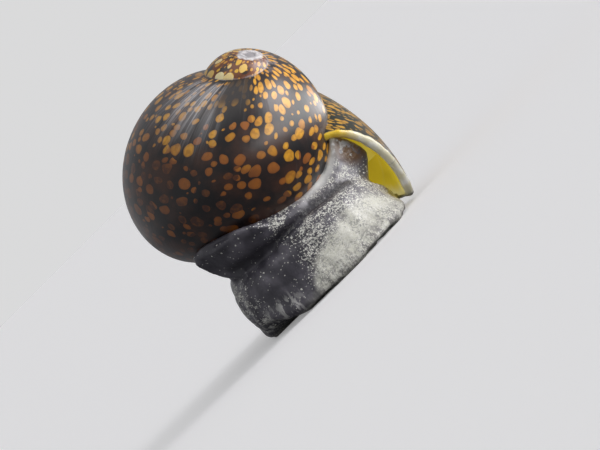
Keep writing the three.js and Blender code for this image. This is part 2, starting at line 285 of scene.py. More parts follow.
# The nodes of a finish are put down one after another in the tree in hand. What a node puts out is a
# Value, which can be added to, taken from or multiplied by a number or another Value.
class Value:
    def __init__(self, socket):
        self.socket = socket

    def __add__(self, other):
        return calculate("ADD", self, other)

    def __sub__(self, other):
        return calculate("SUBTRACT", self, other)

    def __rsub__(self, other):
        return calculate("SUBTRACT", other, self)

    def __mul__(self, other):
        return calculate("MULTIPLY", self, other)


def feed(value, socket):
    if isinstance(value, Value):
        tree.links.new(value.socket, socket)
    else:
        socket.default_value = value


def put(kind, settings=None, **inputs):
    """Puts down a shader node, its inputs named in small letters, and gives what it puts out by name."""
    made = give(tree.nodes.new("ShaderNode" + kind), **(settings or {}))
    for name, value in inputs.items():
        wanted = name.replace("_", " ")
        feed(value, next(s for s in made.inputs if s.name.lower() == wanted and s.enabled))
    return {s.name: Value(s) for s in made.outputs if s.enabled}


def calculate(operation, *values, clamp=False):
    made = give(tree.nodes.new("ShaderNodeMath"), operation=operation, use_clamp=clamp)
    for value, socket in zip(values, made.inputs):
        feed(value, socket)
    return Value(made.outputs["Value"])


def most(first, *others):
    for other in others:
        first = calculate("MAXIMUM", first, other)
    return first


def vector_of(operation, *vectors):
    made = give(tree.nodes.new("ShaderNodeVectorMath"), operation=operation)
    for value, socket in zip(vectors, made.inputs):
        feed(value, socket)
    return Value(next(s for s in made.outputs if s.enabled))


def stretched(vector, by):
    return vector_of("MULTIPLY", vector, by)


def ramp(value, start, end, low=0.0, high=1.0, smooth=True):
    """Goes from low to high as the value goes from start to end."""
    kind = "SMOOTHSTEP" if smooth else "LINEAR"
    return put("MapRange", {"interpolation_type": kind}, value=value,
               from_min=start, from_max=end, to_min=low, to_max=high)["Result"]


def blend(share, first, second):
    """One colour turned into another by a share of it. A plain colour is red, green and blue."""
    made = give(tree.nodes.new("ShaderNodeMix"), data_type="RGBA")
    feed(share, made.inputs[0])
    for color, socket in ((first, made.inputs[6]), (second, made.inputs[7])):
        feed((*color, 1) if isinstance(color, tuple) else color, socket)
    return Value(made.outputs[2])


def layered(color, *layers):
    """A colour with others laid over it in turn, each by its own share."""
    for share, over in layers:
        color = blend(share, color, over)
    return color


def noise(vector, scale, detail=2.0, roughness=0.5):
    return put("TexNoise", vector=vector, scale=scale, detail=detail, roughness=roughness)["Fac"]


def mark(name):
    return put("Attribute", {"attribute_name": name})["Vector"]


def apart(vector):
    return put("SeparateXYZ", vector=vector).values()


def place_in_mm():
    return stretched(put("TexCoord")["Object"], (1 / mm, 1 / mm, 1 / mm))


def new_material(name, **constants):
    made = bpy.data.materials.new(name)
    made.use_nodes = True
    shader = made.node_tree.nodes["Principled BSDF"]
    for key, value in constants.items():
        next(s for s in shader.inputs if s.name.lower() == key.replace("_", " ")).default_value = value
    return made, made.node_tree, shader


def finish(color, rough=None, relief=None, strength=0.0, depth=0.0, glows=False):
    """Feeds the material's shader. The relief's depth is in mm, and a glow, painted light, is of the same
    colour.
    """
    feed(color, shader.inputs["Base Color"])
    if rough:
        feed(rough, shader.inputs["Roughness"])
    if relief:
        bump = put("Bump", height=relief, strength=strength, distance=depth * mm)
        feed(bump["Normal"], shader.inputs["Normal"])
    if glows:
        feed(color, shader.inputs["Emission Color"])


def new_group(name, inputs, outputs):
    """A shader node group with named inputs and outputs: places and growth are vectors, others numbers."""
    group = bpy.data.node_groups.new(name, "ShaderNodeTree")
    for way, labels in (("INPUT", inputs), ("OUTPUT", outputs)):
        for label in labels:
            kind = "Vector" if label in ("Place", "Middle", "Growth") else "Float"
            group.interface.new_socket(label, in_out=way, socket_type="NodeSocket" + kind)
    given = {s.name: Value(s) for s in group.nodes.new("NodeGroupInput").outputs}
    return group, given, group.nodes.new("NodeGroupOutput").inputs


# Round spots of many sizes, one to a cell: how deep inside a spot a place lies, a random number for
# the spot, and the spot's middle.
spot_group, given, wanted = new_group("round_spots", ("Place", "Spacing", "Smallest", "Largest"),
                                      ("Depth", "Number", "Middle"))
tree = spot_group
cells_a_mm = calculate("DIVIDE", 1.0, given["Spacing"])
depths = []
for feature in ("F2", "F1"):
    cells = put("TexVoronoi", {"voronoi_dimensions": "2D", "feature": feature},
                vector=given["Place"], scale=cells_a_mm, randomness=0.72)
    shades = put("SeparateColor", color=cells["Color"])
    size = put("MapRange", value=shades["Red"], to_min=given["Smallest"], to_max=given["Largest"])["Result"]
    depths.append((size - cells["Distance"]) * given["Spacing"])
feed(most(*depths), wanted["Depth"])
feed(shades["Green"], wanted["Number"])
feed(cells["Position"], wanted["Middle"])


def spots(place, spacing, smallest, largest):
    return put("Group", {"node_tree": spot_group}, place=place, spacing=spacing, smallest=smallest,
               largest=largest)


# Growth lines: fine uneven lines across the coil, for colour and relief.
line_group, given, wanted = new_group("growth_lines", ("Growth", "Fineness", "Waver"), ("Lines",))
tree = line_group
grown, girth, _ = apart(given["Growth"])
drawn = put("CombineXYZ", x=grown * given["Fineness"], y=girth * given["Waver"])["Vector"]
feed(noise(drawn, 1.0, 4.0, 0.6), wanted["Lines"])


def growth_lines(growth, fineness, waver):
    return put("Group", {"node_tree": line_group}, growth=growth, fineness=fineness, waver=waver)["Lines"]


skin, tree, shader = new_material("shell_skin", coat_weight=0.5, coat_roughness=0.3)
growth, where = mark("growth"), place_in_mm()
_, _, seam = apart(growth)
turned, _, _ = apart(mark("coil"))
pull = put("TexNoise", vector=where, scale=0.5, detail=2.0)["Color"]
pull = stretched(vector_of("SUBTRACT", pull, (0.5, 0.5, 0.5)), (0.9, 0.9, 0.9))
pulled = vector_of("ADD", growth, pull)

# Amber spots on a near-black ground. A small spot is left out where it would touch a large one. They
# are smaller near the seam and on the last stretch, which has grown in fine flecks.
near_black, dark_brown, olive = (0.0065, 0.0048, 0.0052), (0.050, 0.019, 0.010), (0.016, 0.021, 0.010)
dull_red, rust_red, amber = (0.062, 0.021, 0.011), (0.33, 0.105, 0.014), (0.70, 0.34, 0.018)
spot_edge, spot_stain, spot_ocher = (0.12, 0.035, 0.01), (0.24, 0.085, 0.012), (0.42, 0.25, 0.03)
large_spacing, large_sizes = 1.5, (0.2, 0.365)
late = ramp(turned, -0.36, -0.12)
shrink = most(late, ramp(seam, 2.6, 0.4) * ramp(turned, -0.75, -0.5, 0.0, 0.6)) * 0.5
large = spots(pulled, large_spacing, *large_sizes)
medium = spots(pulled, 1.1, 0.1, 0.38)
beside = spots(medium["Middle"], large_spacing, *large_sizes)
room = ramp(beside["Depth"] - shrink, -0.30, -0.24, 0, -1, smooth=False)
flecks = spots(stretched(pulled, (1.1, 0.7, 1)), 0.74, 0.0, 0.48)
spot_depth = most(large["Depth"] - shrink, medium["Depth"] + room, flecks["Depth"] - 0.5 + shrink)
spotted = ramp(spot_depth, -0.01, 0.035)

# The spots are yellower toward the snail's right and top and redder, duller toward the base at the left:
# partly their own colour, partly painted light and painted shade.
painted_lit_side = ramp(vector_of("DOT_PRODUCT", where, (0.66, -0.05, 0.42)), 0.0, 12.5)
warmth_and_lit_side = calculate("ADD", painted_lit_side, large["Number"] * 0.6 + noise(where, 0.35) * 0.9 - 0.75, clamp=True)
spot_color = layered(dull_red, (ramp(warmth_and_lit_side, 0, 0.45), rust_red), (ramp(warmth_and_lit_side, 0.4, 0.95), amber))
spot_color = blend(ramp(spot_depth, 0.0, 0.22), blend(0.35, spot_color, spot_edge), spot_color)
spot_color = layered(spot_color, (late * 0.6, spot_ocher),
                     (ramp(noise(where, 2.2, 3.0), 0.44, 0.64) * 0.4, spot_stain))
color = layered(near_black, (ramp(noise(where, 0.42, 4.0), 0.38, 0.70), dark_brown),
                (late * 0.85, olive), (spotted, spot_color))

# Round the spire the shell is worn paler: cream blotches on rust, then a chalky ring about the tip.
umber, rust, ocher = (0.03, 0.02, 0.018), (0.17, 0.052, 0.014), (0.62, 0.29, 0.025)
deep_cream, pale_cream = (0.74, 0.42, 0.03), (0.90, 0.78, 0.42)
veil_grey, pit_grey, chalk = (0.30, 0.27, 0.28), (0.26, 0.24, 0.24), (0.62, 0.60, 0.60)
blotches = spots(pulled, 1.2, 0.08, 0.5)
small = spots(pulled, 0.6, -0.2, 0.46)
cream = blend(ramp(blotches["Number"], 0.5, 0.95), deep_cream, pale_cream)
worn = layered(umber, (ramp(noise(where, 0.9, 3.0), 0.38, 0.54), rust),
               (ramp(small["Depth"], -0.01, 0.03), ocher), (ramp(blotches["Depth"], -0.02, 0.03), cream))
from_tip = vector_of("SUBTRACT", where, tuple(apex))
off_axis = vector_of("LENGTH", vector_of("CROSS_PRODUCT", from_tip, tuple(axis_up)))
off_axis = off_axis + noise(where, 1.6, 3.0) * 0.7 - 0.35
rightward = vector_of("DOT_PRODUCT", from_tip, (0.7, 0, -0.7))
veins = ramp(noise(where, 3.0, 3.0, 0.7), 0.38, 0.62)
veil = ramp(off_axis - rightward * 0.45, 2.3, 0.9) * veins
ring = ramp(off_axis, 1.25, 1.0) * ramp(off_axis, 0.4, 0.75) * ramp(veins, 0, 1, 0.45, 1)
color = layered(color, (ramp(turned, -1.18, -1.42), worn), (veil * 0.55, veil_grey),
                (ramp(off_axis, 1.2, 0.9), pit_grey), (ring, chalk))

# Silvery growth lines run out from the seam at the left, the silver a painted reflection, beside a painted
# shadow under the spire, and the seam itself is a thin, broken limy thread.
silver_sheen, spire_shadow_dark, dim_line, thread_grey = (
    (0.50, 0.49, 0.50), (0.012, 0.0075, 0.006), (0.16, 0.14, 0.14), (0.30, 0.29, 0.31))
lines = growth_lines(growth, 3.0, 0.15)
broad_lines = growth_lines(growth, 0.9, 0.06)
sheen_on_lines = ramp(seam, 0.15, 0.9) * ramp(seam, 7.0, 1.5)
sheen_on_lines = sheen_on_lines * ramp(turned, -0.715, -0.66) * ramp(turned, -0.50, -0.57)
sheen_on_lines = sheen_on_lines * ramp(broad_lines, 0.30, 0.56) * (ramp(lines, 0.45, 0.60) * 0.6 + 0.34)
spire_shadow = ramp(turned, -0.785, -0.75) * ramp(turned, -0.65, -0.685) * ramp(seam, 3.6, 1.6)
thread = ramp(seam - growth_lines(growth, 6.0, 2.0) * 0.22, 0.0, -0.05)
color = layered(color, (sheen_on_lines, silver_sheen), (spire_shadow * 0.94, spire_shadow_dark),
                (ramp(seam, 6.0, 1.0) * ramp(lines, 0.52, 0.72) * 0.22, dim_line),
                (thread * 0.5, thread_grey))
rough = ramp(most(sheen_on_lines, ring, veil * 0.6), 0, 1, 0.3, 0.52, smooth=False)
rough = rough + noise(where, 1.3, 4.0) * 0.16 - 0.06
relief = lines * 0.8 + broad_lines * 1.2 + spotted * 0.05 + noise(where, 4.0, 3.0) * 0.12
finish(color, rough, relief, 0.45, 0.05)

# Inside, the wall is smooth mustard-yellow glaze, paler at the lip, with painted shade darkening it to olive
# deep in. It also glows a little: painted light standing in for light through the thin wall.
inner, tree, shader = new_material("shell_inside", roughness=0.22, coat_weight=0.4, coat_roughness=0.1,
                                   emission_strength=0.36)
lip_yellow, mustard, shaded_mustard, shaded_olive, line_yellow = (
    (0.80, 0.72, 0.32), (0.74, 0.58, 0.035), (0.58, 0.44, 0.025), (0.26, 0.20, 0.03), (0.62, 0.55, 0.16))
where = place_in_mm()
_, _, depth_in = apart(mark("coil"))
depth_in = depth_in + noise(where, 0.5) * 1.6 - 0.8
lines = growth_lines(mark("growth"), 1.2, 0.08)
color = layered(lip_yellow, (ramp(depth_in, 0.0, 1.6), mustard), (ramp(depth_in, 1.2, 5.0), shaded_mustard),
                (ramp(depth_in, 5.0, 12.0), shaded_olive), (ramp(lines, 0.5, 0.7) * 0.3, line_yellow))
finish(color, relief=lines, strength=0.3, depth=0.04, glows=True)

# The lip is cream, yellow toward the corner of the mouth, with painted white highlights and thin chips.
rim, tree, shader = new_material("shell_lip", roughness=0.28, coat_weight=0.35, coat_roughness=0.12)
ivory, gold, glint_white, brown_stain, chip_grey = (
    (0.78, 0.74, 0.52), (0.80, 0.54, 0.03), (0.90, 0.89, 0.80), (0.33, 0.11, 0.012), (0.22, 0.22, 0.20))
growth, where = mark("growth"), place_in_mm()
from_corner, _, inward = apart(growth)
golden = ramp(from_corner - noise(where, 1.1, 3.0) * 3.0, 2.2, -0.6)
painted_glints = ramp(noise(where, 0.9, 3.0), 0.42, 0.66) * ramp(golden, 0.5, 0.0)
stain = ramp(inward, 0.05, 0.6) * ramp(from_corner, 5.5, 2.0) * ramp(noise(where, 2.6, 3.0), 0.36, 0.56)
chips = ramp(growth_lines(growth, 0.75, 0.5), 0.60, 0.65) * ramp(from_corner, 3.5, 6.0)
color = layered(ivory, (golden, gold), (painted_glints, glint_white), (stain, brown_stain), (chips * 0.75, chip_grey))
finish(color, relief=noise(where, 1.8, 3.0) - chips * 1.5, strength=0.4, depth=0.08)

for coating in (skin, inner, rim):
    shell.data.materials.append(coating)

# The wall is thinner in the small early turns, and sunk a little under the worn tip.
full_wall_from = 4.5
sunk_depth, sunk_radius = 0.9, 1.9
turns = get_mark(shell, "coil")[:, 0]
thickness = shell.vertex_groups.new(name="thickness")
for index, share in enumerate(np.clip(size_at(section_half_width, turns) / full_wall_from, 0.05, 1)):
    thickness.add([index], share, "REPLACE")
give(shell.modifiers.new("wall", "SOLIDIFY"), thickness=wall * mm, offset=-1, vertex_group="thickness",
     material_offset=1, material_offset_rim=2)
take(shell)
outer_count = len(shell.data.vertices)
bpy.ops.object.modifier_apply(modifier="wall")
place = coordinates(shell) / mm
up = (place - apex) @ axis_up
from_axis = lengths(place - apex - up[:, None] * axis_up)
sunk = sunk_depth * np.clip((sunk_radius - from_axis) / 0.6, 0, 1) * (up > -3)
sunk[:outer_count] = 0
set_coordinates(shell, (place - sunk[:, None] * axis_up) * mm)
bpy.ops.object.shade_smooth_by_angle(angle=math.radians(40))

# The worn tip is closed by a chalky plug.
plug_radius = 0.78
plug_depth = 0.17
plug_below_tip = 0.66
bpy.ops.mesh.primitive_uv_sphere_add(
    segments=32, ring_count=16, radius=mm, scale=(plug_radius, plug_radius, plug_depth),
    location=(apex - axis_up * plug_below_tip) * mm,
    rotation=Vector(axis_up).to_track_quat("Z", "Y").to_euler())
bpy.ops.object.shade_smooth()
plug = bpy.context.active_object
plug.data.materials.append(skin)
take(shell, plug)
bpy.ops.object.join()
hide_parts("shell_spire", "shell_body_whorl", "shell_last_whorl")
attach(shell, "root")

# The lip is the shell's newest edge, a rounded pale bead of lime as thick as the wall. It runs along the
# rim of the mouth, from the left side round the front to the corner where the last turn meets the one
# before. It is made from a row of rings, and its finish is the one given above for the wall's cut edge.


def spline(points, count):
    """A smooth curve through points, cut into even steps."""
    points = np.asarray(points, float)
    padded = np.vstack((2 * points[0] - points[1], points, 2 * points[-1] - points[-2]))
    finer = []
    for a, b, c, d in zip(padded, padded[1:], padded[2:], padded[3:]):
        for t in np.linspace(0, 1, 12, endpoint=False):
            finer.append(0.5 * (2 * b + (c - a) * t + (2 * a - 5 * b + 4 * c - d) * t * t
                                + (3 * b - a - 3 * c + d) * t ** 3))
    finer = np.array(finer + [points[-1]])
    length = running(lengths(np.diff(finer, axis=0)))
    even = np.linspace(0, length[-1], count)
    return np.stack([np.interp(even, length, finer[:, k]) for k in range(points.shape[1])], 1)


def unit(vectors):
    return vectors / lengths(vectors)[..., None]


def skin_over(name, rings):
    """A closed skin over rings of points: a flat grid, rolled up and closed at its ends."""
    rings = np.asarray(rings, float)
    count, round_it = rings.shape[:2]
    deselect()
    bpy.ops.mesh.primitive_grid_add(x_subdivisions=count - 1, y_subdivisions=round_it, size=1)
    piece = named(name)
    flat = coordinates(piece)
    row = np.round((flat[:, 0] + 0.5) * (count - 1)).astype(int)
    column = np.round((flat[:, 1] + 0.5) * round_it).astype(int) % round_it
    set_coordinates(piece, rings[row, column] * mm)
    edit()
    bpy.ops.mesh.remove_doubles(threshold=0.001 * mm)
    bpy.ops.mesh.fill_holes(sides=0)
    bpy.ops.mesh.normals_make_consistent(inside=False)
    end_edit()
    return piece


def tube_frame(turn, around):
    """The tube's skin at a turn and angle, with its outward normal."""
    step = 1e-4
    place = tube(turn, around)[0]
    over = tube(turn, around + step)[0] - place
    ahead = tube(turn + step, around)[0] - place
    return place, unit(np.cross(over, ahead))


rim_line = rim_line[np.argsort(rim_line[:, 1])]
rim_line = spline(rim_line[::3, :2], 240)
rim_place, rim_out = tube_frame(rim_line[:, 0], rim_line[:, 1])
rim_along = unit(np.gradient(rim_place, axis=0))
rim_down = unit(np.cross(rim_along, rim_out))
rim_down *= np.sign((rim_down @ np.array((0, -0.4, -1)))[:, None])

# The bead swells and dips unevenly, and is thinner toward the corner.
lip_thickness = wall + 0.04
lip_overhang, lip_root = 0.32, 0.5
corner_thinning, corner_reach = 0.22, 3.5
lip_turn = np.linspace(0, math.tau, 16, endpoint=False)
lip_rings = []
for point, outward, down in zip(rim_place, rim_out, rim_down):
    middle = point - outward * wall / 2
    from_corner = lengths(point - rim_place[-1])
    uneven = 1 + 0.10 * math.sin(point @ (0.5, 0.7, 0.9)) + 0.05 * math.sin(point @ (1.7, -1.3, 2.1))
    uneven += 0.07 * math.sin(point @ (3.4, 2.6, -3.0)) * math.sin(point @ (0.9, -0.8, 1.3))
    uneven *= 1 - corner_thinning * math.exp(-(from_corner / corner_reach) ** 2)
    lip_rings.append([middle + outward * lip_thickness / 2 * uneven * math.cos(a)
                      + down * (lip_overhang * uneven if math.sin(a) > 0 else lip_root) * math.sin(a)
                      for a in lip_turn])
lip = skin_over("lip", lip_rings)

# The lip's marks: how far from the mouth's corner, how far down the bead, and how far to its inner side.
middles = rim_place - rim_out * wall / 2
lip_place = coordinates(lip) / mm
nearest = np.array([np.argmin(lengths(middles - p)) for p in lip_place])
run = running(lengths(np.diff(middles, axis=0)))
sideways = np.einsum("ij,ij->i", lip_place - middles[nearest], -rim_out[nearest])
downways = np.einsum("ij,ij->i", lip_place - middles[nearest], rim_down[nearest])
set_mark(lip, "growth", np.stack((run[-1] - run[nearest], downways, sideways), 1))
lip.data.materials.append(rim)
bpy.ops.object.shade_smooth()
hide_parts("shell_lip")
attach(lip, "root")

# The flesh is one moist slate-grey skin: the broad foot and its sole, the body that goes up into the
# mouth, the fold that carries the operculum, the mantle's edge, the neck, and the head with its feelers
# and eye stalks. Each is shaped on its own, then all are melted into one skin and worked over.

# A station is a place with the half width and half length there. A route's points are places with radii.
foot_corner = 7.2
foot_stations = [
    (-0.1, -0.3, 0, 8.3, 11.4), (-0.15, -0.28, 0.3, 8.75, 11.95), (-0.2, -0.25, 0.8, 8.8, 11.9),
    (-0.35, -0.6, 1.7, 8.6, 10.9), (-0.55, -0.9, 2.8, 8.5, 10.1), (-0.6, -1.25, 4.0, 8.35, 9.6),
    (-0.45, -1.5, 5.3, 8.1, 8.8), (-0.4, -1.35, 6.2, 7.8, 8.1), (-0.4, 0.3, 6.9, 7.0, 6.4),
    (0.2, 1.5, 7.6, 6.2, 4.5), (0.5, 1.0, 9.4, 5.0, 3.2)]
head_x = -1
head_corner = 1.1
head_stations = [
    (head_x, 4.5, 2.9, 3.7, 1.4), (head_x, 9, 2.85, 3.3, 1.25), (head_x, 11.2, 2.9, 3.15, 1.35),
    (head_x, 12.9, 2.65, 3.05, 1.6), (head_x, 14.3, 2.25, 2.75, 1.5), (head_x, 15.6, 1.85, 2.5, 1.25),
    (head_x, 16.6, 1.6, 2.35, 1.05), (head_x, 17.2, 1.45, 1.9, 0.8)]
feeler_route = [
    (1.3, 12.2, 2.9, 0.72), (2, 13, 3.3, 0.6), (3.4, 15.2, 4, 0.46), (5, 17.6, 3.9, 0.36),
    (6, 19.9, 3.3, 0.28), (6.8, 21.2, 3.08, 0.22), (7.15, 21.75, 3.02, 0.17), (7.25, 21.95, 3, 0.14)]
stalk_route = [
    (1.2, 11.9, 2.4, 1.1), (1.9, 12, 2.9, 1.0), (2.75, 12.1, 3.45, 0.85), (3.35, 12.25, 3.95, 0.66),
    (3.45, 12.3, 4.05, 0.4)]
melt_size = 0.16


def drawn_out(name, corner, stations, upright=False):
    """A plate with round corners, drawn out from station to station and smoothed into a solid form."""
    stations = [(np.array(station[:3], float), np.array(station[3:], float)) for station in stations]
    middle, half = stations[0]
    deselect()
    bpy.ops.mesh.primitive_plane_add(size=2 * mm, location=middle * mm)
    edit()
    bpy.ops.transform.resize(value=(half[0], half[1], 1), center_override=middle * mm)
    bpy.ops.mesh.bevel(offset=corner * mm, segments=7, affect="VERTICES")
    if upright:
        bpy.ops.transform.rotate(value=-math.pi / 2, orient_axis="X", center_override=middle * mm)
    for next_middle, next_half in stations[1:]:
        step, (wide, long) = (next_middle - middle) * mm, next_half / half
        bpy.ops.mesh.extrude_region_move(TRANSFORM_OT_translate={"value": step})
        bpy.ops.transform.resize(value=(wide, 1, long) if upright else (wide, long, 1),
                                 center_override=next_middle * mm)
        middle, half = next_middle, next_half
    bpy.ops.mesh.select_all(action="SELECT")
    bpy.ops.mesh.normals_make_consistent(inside=False)
    end_edit()
    piece = named(name)
    bpy.ops.object.transform_apply()
    give(piece.modifiers.new("rounding", "SUBSURF"), levels=2, render_levels=2)
    bpy.ops.object.modifier_apply(modifier="rounding")
    return piece


def strand(name, route, mirror=None):
    """A round strand of flesh through a route of places and radii."""
    deselect()
    bpy.ops.curve.primitive_nurbs_path_add()
    piece = named(name)
    piece.data.splines.clear()
    line = piece.data.splines.new("NURBS")
    line.points.add(len(route) - 1)
    for point, (x, y, z, radius) in zip(line.points, route):
        x = head_x + mirror * x if mirror else x
        give(point, co=(x * mm, y * mm, z * mm, 1), radius=radius)
    give(line, use_endpoint_u=True, order_u=3, resolution_u=12)
    give(piece.data, dimensions="3D", bevel_depth=mm, bevel_resolution=6, use_fill_caps=True)
    bpy.ops.object.transform_apply(rotation=True)
    bpy.ops.object.convert(target="MESH")
    return bpy.context.active_object


flesh = [drawn_out("foot", foot_corner, foot_stations),
         drawn_out("head", head_corner, head_stations, upright=True)]
for side, sign in (("left", -1), ("right", 1)):
    flesh.append(strand("feeler_" + side, feeler_route, sign))
    flesh.append(strand("stalk_" + side, stalk_route, sign))

# A shoulder fills in under the fold at the left, a ridge runs down the foot's rear right, the mantle
# shows at the mouth's left, and a roll of lip closes the snout.
for name, route in (
        ("shoulder", [(-6.6, 0.5, 4.6, 1.0), (-6.7, -2.8, 5.3, 1.1), (-6.75, -5.0, 6.2, 1.0),
                      (-6.8, -5.9, 7.4, 0.75), (-7.6, -6.2, 8.6, 0.6)]),
        ("ridge", [(-2.5, -9.3, 5.6, 0.7), (0, -9.6, 5.6, 0.85), (3, -9.1, 5.1, 0.95), (5.4, -7.6, 4.4, 0.95),
                   (7.0, -5.6, 3.6, 0.85), (7.7, -3.2, 2.6, 0.8), (8.0, 0, 1.5, 0.6)]),
        ("mantle_left", [(-4.6, 6.0, 5.6, 0.9), (-5.9, 4.2, 6.1, 1.0), (-6.35, 2.6, 6.65, 1.1),
                         (-6.0, 0.8, 6.9, 1.0), (-5.2, -0.8, 7.0, 0.8)]),
        ("snout_roll", [(-3.1, 15.9, 1.25, 0.5), (-2.15, 16.85, 1.2, 0.9), (-1, 16.75, 1.4, 0.6),
                        (0.15, 16.85, 1.2, 0.9), (1.1, 15.9, 1.25, 0.5)])):
    flesh.append(strand(name, route))

# The fold that carries the operculum laps up over the shell's rear, and on the right it goes on as the
# flesh that closes the mouth's corner. Each row: lower edge, upper edge, and how far it swells back.
fold_rows = [
    ((-8.7, -6.9, 9.7), (-8.85, -7.1, 10.2), 0.15), ((-8.3, -6.6, 8.9), (-8.5, -6.6, 10.45), 0.7),
    ((-7.7, -6.3, 8.0), (-7.9, -6.8, 10.6), 1.0), ((-7.1, -6.7, 7.4), (-6.9, -8.0, 10.5), 1.1),
    ((-5.6, -8.0, 7.3), (-4.8, -9.5, 9.9), 1.0), ((-3.75, -9.0, 7.05), (-3.0, -9.7, 9.15), 0.95),
    ((-1.7, -9.4, 6.65), (-1.3, -9.6, 8.4), 0.9), ((0.6, -9.5, 6.55), (0.8, -9.2, 7.75), 0.65),
    ((2.6, -9.2, 6.4), (2.8, -8.4, 7.45), 0.35), ((4.3, -8.6, 6.1), (5.1, -7.3, 7.75), 0.1),
    ((5.6, -7.9, 5.8), (6.9, -6.75, 8.8), -0.1), ((6.6, -7.1, 5.3), (7.9, -6.8, 9.7), -0.2),
    ((7.3, -6.3, 5.0), (8.8, -6.3, 8.5), -0.25), ((7.8, -5.5, 4.6), (9.3, -5.75, 7.1), -0.2),
    ((7.95, -5.0, 4.5), (9.4, -5.35, 6.3), -0.1)]
fold_stations = 96
fold_levels = 16
fold_skin = 0.55
plate_room = 0.6
plate_lift, plate_reach, in_wall = 1.25, 1.4, 0.25
corner_from = 5
thick_until = 3
opens_over = 0.26


def surface_of(piece):
    return BVHTree.FromPolygons([v.co[:] for v in piece.data.vertices],
                                [p.vertices[:] for p in piece.data.polygons])


def seen_from_behind(surface, x, z):
    """How far back a surface's rear half lies at a width and height, or None."""
    hit = surface.ray_cast(Vector((x, -40, z)) * mm, Vector((0, 1, 0)))[0]
    return hit.y / mm if hit and hit.y < -4 * mm else None


def hug(x, y, z):
    """The nearest place on the shell, a little in its wall, or off it by the room the operculum takes."""
    near, normal, _, _ = shell_surface.find_nearest(Vector((x, y, z)) * mm)
    if (Vector((x, y, z)) * mm - near).dot(normal) < 0:
        normal = -normal
    to_plate = (plate_surface.find_nearest(near + normal * 0.5 * mm)[3]) / mm
    lift = plate_lift * max(0.0, min(1.0, plate_reach - to_plate)) - in_wall
    return tuple(v / mm for v in near + normal * lift * mm)


shell_surface = surface_of(shell)
plate_surface = surface_of(bpy.data.objects["operculum"])
lower = spline([row[0] for row in fold_rows], fold_stations)
upper = spline([row[1] for row in fold_rows], fold_stations)
shares = np.linspace(0, 1, fold_stations)
swell = np.interp(shares, np.linspace(0, 1, len(fold_rows)), [row[2] for row in fold_rows])

# At each station the fold's outer side is laid over the shell and the operculum. Up to the corner its
# inner side hugs the shell down to the foot, and at the corner it is a sheet that thickens forward.
rings, rim_route, thick_route = [], [], []
for low_end, high_end, swollen, share in zip(lower, upper, swell, shares):
    outer, under = [], []
    for level in np.linspace(0, 1, fold_levels):
        x, y, z = low_end * (1 - level) + high_end * level
        y -= swollen * math.sin(math.pi * (0.03 + 0.94 * level)) ** 0.6
        over_shell = seen_from_behind(shell_surface, x, z)
        over_plate = seen_from_behind(plate_surface, x, z)
        if over_shell:
            y = min(y, over_shell - fold_skin * min(1, (1 - level) * 8) ** 0.5)
            y = y if level < 1 else over_shell + 0.2
        if over_plate:
            y = min(y, over_plate - plate_room)
        outer.append((x, y, z))
        if over_shell and x < corner_from and level == 1:
            rim_route.append((x, min(over_shell - 0.08, outer[-2][1] + 0.45), z, 0.27))
        under.append((x, y + fold_skin + 2.0 * min(1, max(0, x - corner_from) / 2), z))
    if low_end[0] < corner_from:
        opened = min(1, share / opens_over)
        opened = opened * opened * (3 - 2 * opened)
        x = low_end[0] * (1 - opened) + max(low_end[0], -6.6) * opened
        front = (low_end[1] + 0.7) * (1 - opened) + (-3.0 - max(0, low_end[0] + 1) * 0.3) * opened
        base = (low_end[2] - 0.1) * (1 - opened) + 5.0 * opened
        behind = [hug(*(high_end + (0, 0.2, 0))), hug(*((high_end * 2 + low_end) / 3 + (0, 0.9, 0))),
                  hug(*((high_end + low_end * 2) / 3 + (0, 1.2, 0))), hug(*(low_end + (0, 1.0, 0)))]
        beneath = [hug(x, low_end[1] * (1 - t) + front * t, low_end[2] + 0.4) for t in (0.33, 0.66, 1.0)]
        close = [(x, front, base), (x, front * 0.6 + low_end[1] * 0.4, base),
                 (x, front * 0.3 + low_end[1] * 0.7, base), (x, low_end[1] + 0.3, (low_end[2] + base) / 2)]
        route = spline(behind + beneath, fold_levels - len(close))
        rings.append(outer[::-1] + close[::-1] + list(route[::-1]))
    else:
        rings.append(outer[::-1] + under)
    if low_end[0] < thick_until:
        x, y, z = outer[-4]
        thick_route.append((x, y + 0.32, z, 0.36))
flesh.append(skin_over("fold", rings))
flesh.append(strand("fold_rim", rim_route[::2]))
flesh.append(strand("fold_thickness", thick_route[1::3]))
flesh.append(strand("fold_end", [(-8.72, -7.05, 10.1, 0.24), (-8.4, -6.75, 9.2, 0.34),
                                 (-7.7, -6.45, 8.0, 0.42), (-7.0, -6.5, 6.9, 0.5), (-6.0, -7.5, 6.3, 0.5)]))

# The mantle's edge lines the mouth inside the lip.
mantle_wide, mantle_thick = 1.3, 0.65
mantle_run = slice(6, 98)
mantle_angle = np.linspace(0, math.tau, 20, endpoint=False)
rings = []
for point, outward, down in list(zip(rim_place, rim_out, rim_down))[mantle_run]:
    middle = point - outward * (wall + 1.0) - down * 1.3
    rings.append([middle + outward * mantle_wide * math.cos(a) + down * mantle_thick * math.sin(a)
                  for a in mantle_angle])
flesh.append(skin_over("mantle", rings))

take(*flesh)
bpy.ops.object.join()
body = named("flesh")
give(body.modifiers.new("melt", "REMESH"), mode="VOXEL", voxel_size=melt_size * mm)
bpy.ops.object.modifier_apply(modifier="melt")
give(body.modifiers.new("smooth", "SMOOTH"), factor=0.5, iterations=8)
bpy.ops.object.modifier_apply(modifier="smooth")
bpy.ops.object.shade_smooth()

# The skin is worked over: the feelers drawn round again, waves pushed in along the way the flesh
# stretches, the mouth opened, the eyes bedded, the sole pressed flat and the tail's left edge curled up.


def wave(places, stretch, seed):
    """Soft random waves, drawn out along each axis by the stretch given for it."""
    return np.array([roughly.noise(Vector(p)) for p in places * np.array(stretch) + seed])


